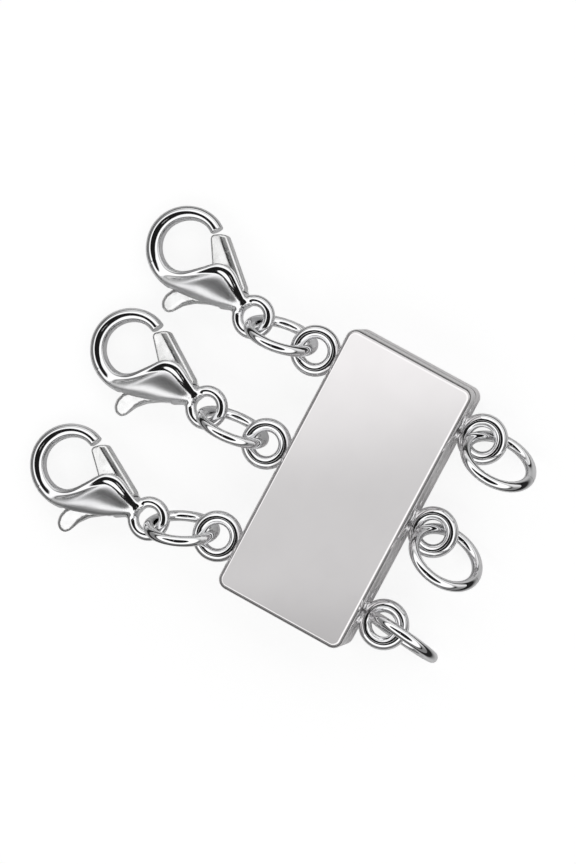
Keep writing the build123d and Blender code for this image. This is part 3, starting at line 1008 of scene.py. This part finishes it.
def buildOpening(tree, ray):
    # the dark slot over the object, which narrows towards its far end
    start, end = Vector(stage["openingFrom"]).normalized(), Vector(stage["openingTo"]).normalized()
    fromStart = vectorNode(tree, "SUBTRACT", ray, start)
    along = vectorNode(tree, "DOT_PRODUCT", fromStart, end - start)
    along = mathNode(tree, "DIVIDE", along, (end - start).length_squared)
    along = addNode(tree, "ShaderNodeClamp", None, {"Value": along}).outputs[0]
    step = addNode(tree, "ShaderNodeVectorMath", {"operation": "SCALE"}, {0: end - start, "Scale": along})
    off = vectorNode(tree, "LENGTH", vectorNode(tree, "SUBTRACT", fromStart, step.outputs[0]))
    off = mathNode(tree, "MULTIPLY_ADD", along, chord(stage["openingTaper"]), off)
    return fadeNode(tree, off, chord(stage["openingInner"]), chord(stage["openingOuter"]),
                    stage["openingLevel"], 1.0)


def buildHorizon(tree, parts):
    # dark above the floor, but for a lighter band and the far side
    lift = fadeNode(tree, parts["Y"], stage["liftFrom"], stage["liftTo"], 0.0, stage["horizonLift"])
    sky = fadeNode(tree, parts["Z"], heightOf(stage["horizonLow"]), heightOf(stage["horizonHigh"]), lift, 1.0)
    band = fadeNode(tree, parts["Z"], heightOf(stage["hazeLow"]), heightOf(stage["hazeHigh"]),
                    stage["hazeLevel"], 0.0)
    return mathNode(tree, "ADD", sky, band)


def buildCard(tree, ray, parts):
    # the shaded card that the flat lid mirrors: where it is, and how bright
    away = vectorNode(tree, "SUBTRACT", ray, Vector(stage["cardDirection"]).normalized())
    awayParts = addNode(tree, "ShaderNodeSeparateXYZ", None, {0: away}).outputs
    sides = []
    for name, half in zip("XY", stage["cardHalf"]):
        off = mathNode(tree, "ABSOLUTE", awayParts[name])
        sides.append(fadeNode(tree, off, half, half + stage["cardSoft"], 1.0, 0.0))
    above = mathNode(tree, "GREATER_THAN", parts["Z"], 0.0)
    card = mathNode(tree, "MULTIPLY", mathNode(tree, "MULTIPLY", *sides), above)
    place = vectorNode(tree, "DOT_PRODUCT", away, stage["cardUp"])
    low, high, gain = stage["cardRise"]
    rise = fadeNode(tree, place, low, high, 0.0, gain)
    low, high, loss = stage["cardFall"]
    fall = fadeNode(tree, place, -high, -low, -loss, 0.0)
    return card, mathNode(tree, "ADD", mathNode(tree, "ADD", rise, fall), stage["cardMiddle"])


def buildWorld():
    # a white light tent with a dark slot, a shaded card and a dim band round the horizon
    world = bpy.data.worlds.new("lightTent")
    bpy.context.scene.world = world
    world.use_nodes = True
    tree = world.node_tree
    ray = addNode(tree, "ShaderNodeTexCoord").outputs["Generated"]
    parts = addNode(tree, "ShaderNodeSeparateXYZ", None, {0: ray}).outputs
    tent = mathNode(tree, "MULTIPLY", buildOpening(tree, ray), buildHorizon(tree, parts))
    card, shade = buildCard(tree, ray, parts)
    mirrored = addNode(tree, "ShaderNodeMix", {"data_type": "FLOAT"}, {"Factor": card, "A": tent, "B": shade})
    # the camera itself sees a plain pale backdrop
    forCamera = addNode(tree, "ShaderNodeLightPath").outputs["Is Camera Ray"]
    light = addNode(tree, "ShaderNodeMix", {"data_type": "FLOAT"},
                    {"Factor": forCamera, "A": mirrored.outputs[0], "B": stage["backdrop"]})
    background = tree.nodes["Background"].inputs
    tree.links.new(light.outputs[0], background["Color"])
    background["Strength"].default_value = stage["worldStrength"]
    bpy.context.scene.view_settings.view_transform = "Standard"


def buildCamera():
    direction = Vector(stage["cameraDirection"]).normalized()
    up = Vector(stage["imageUp"])
    up = (up - direction * up.dot(direction)).normalized()
    data = bpy.data.cameras.new("camera")
    data.lens, data.sensor_width = stage["lens"], stage["sensor"]
    data.clip_start, data.clip_end = stage["clipStart"], stage["clipEnd"]
    camera = bpy.data.objects.new("camera", data)
    bpy.context.scene.collection.objects.link(camera)
    turn = Matrix((up.cross(direction), up, direction)).transposed().to_4x4()
    place = Vector(stage["target"]) * mm + direction * stage["distance"] * mm
    camera.matrix_world = Matrix.Translation(place) @ turn
    bpy.context.scene.camera = camera


buildFloor()
buildWorld()
buildCamera()
print("stage made")

low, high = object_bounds()
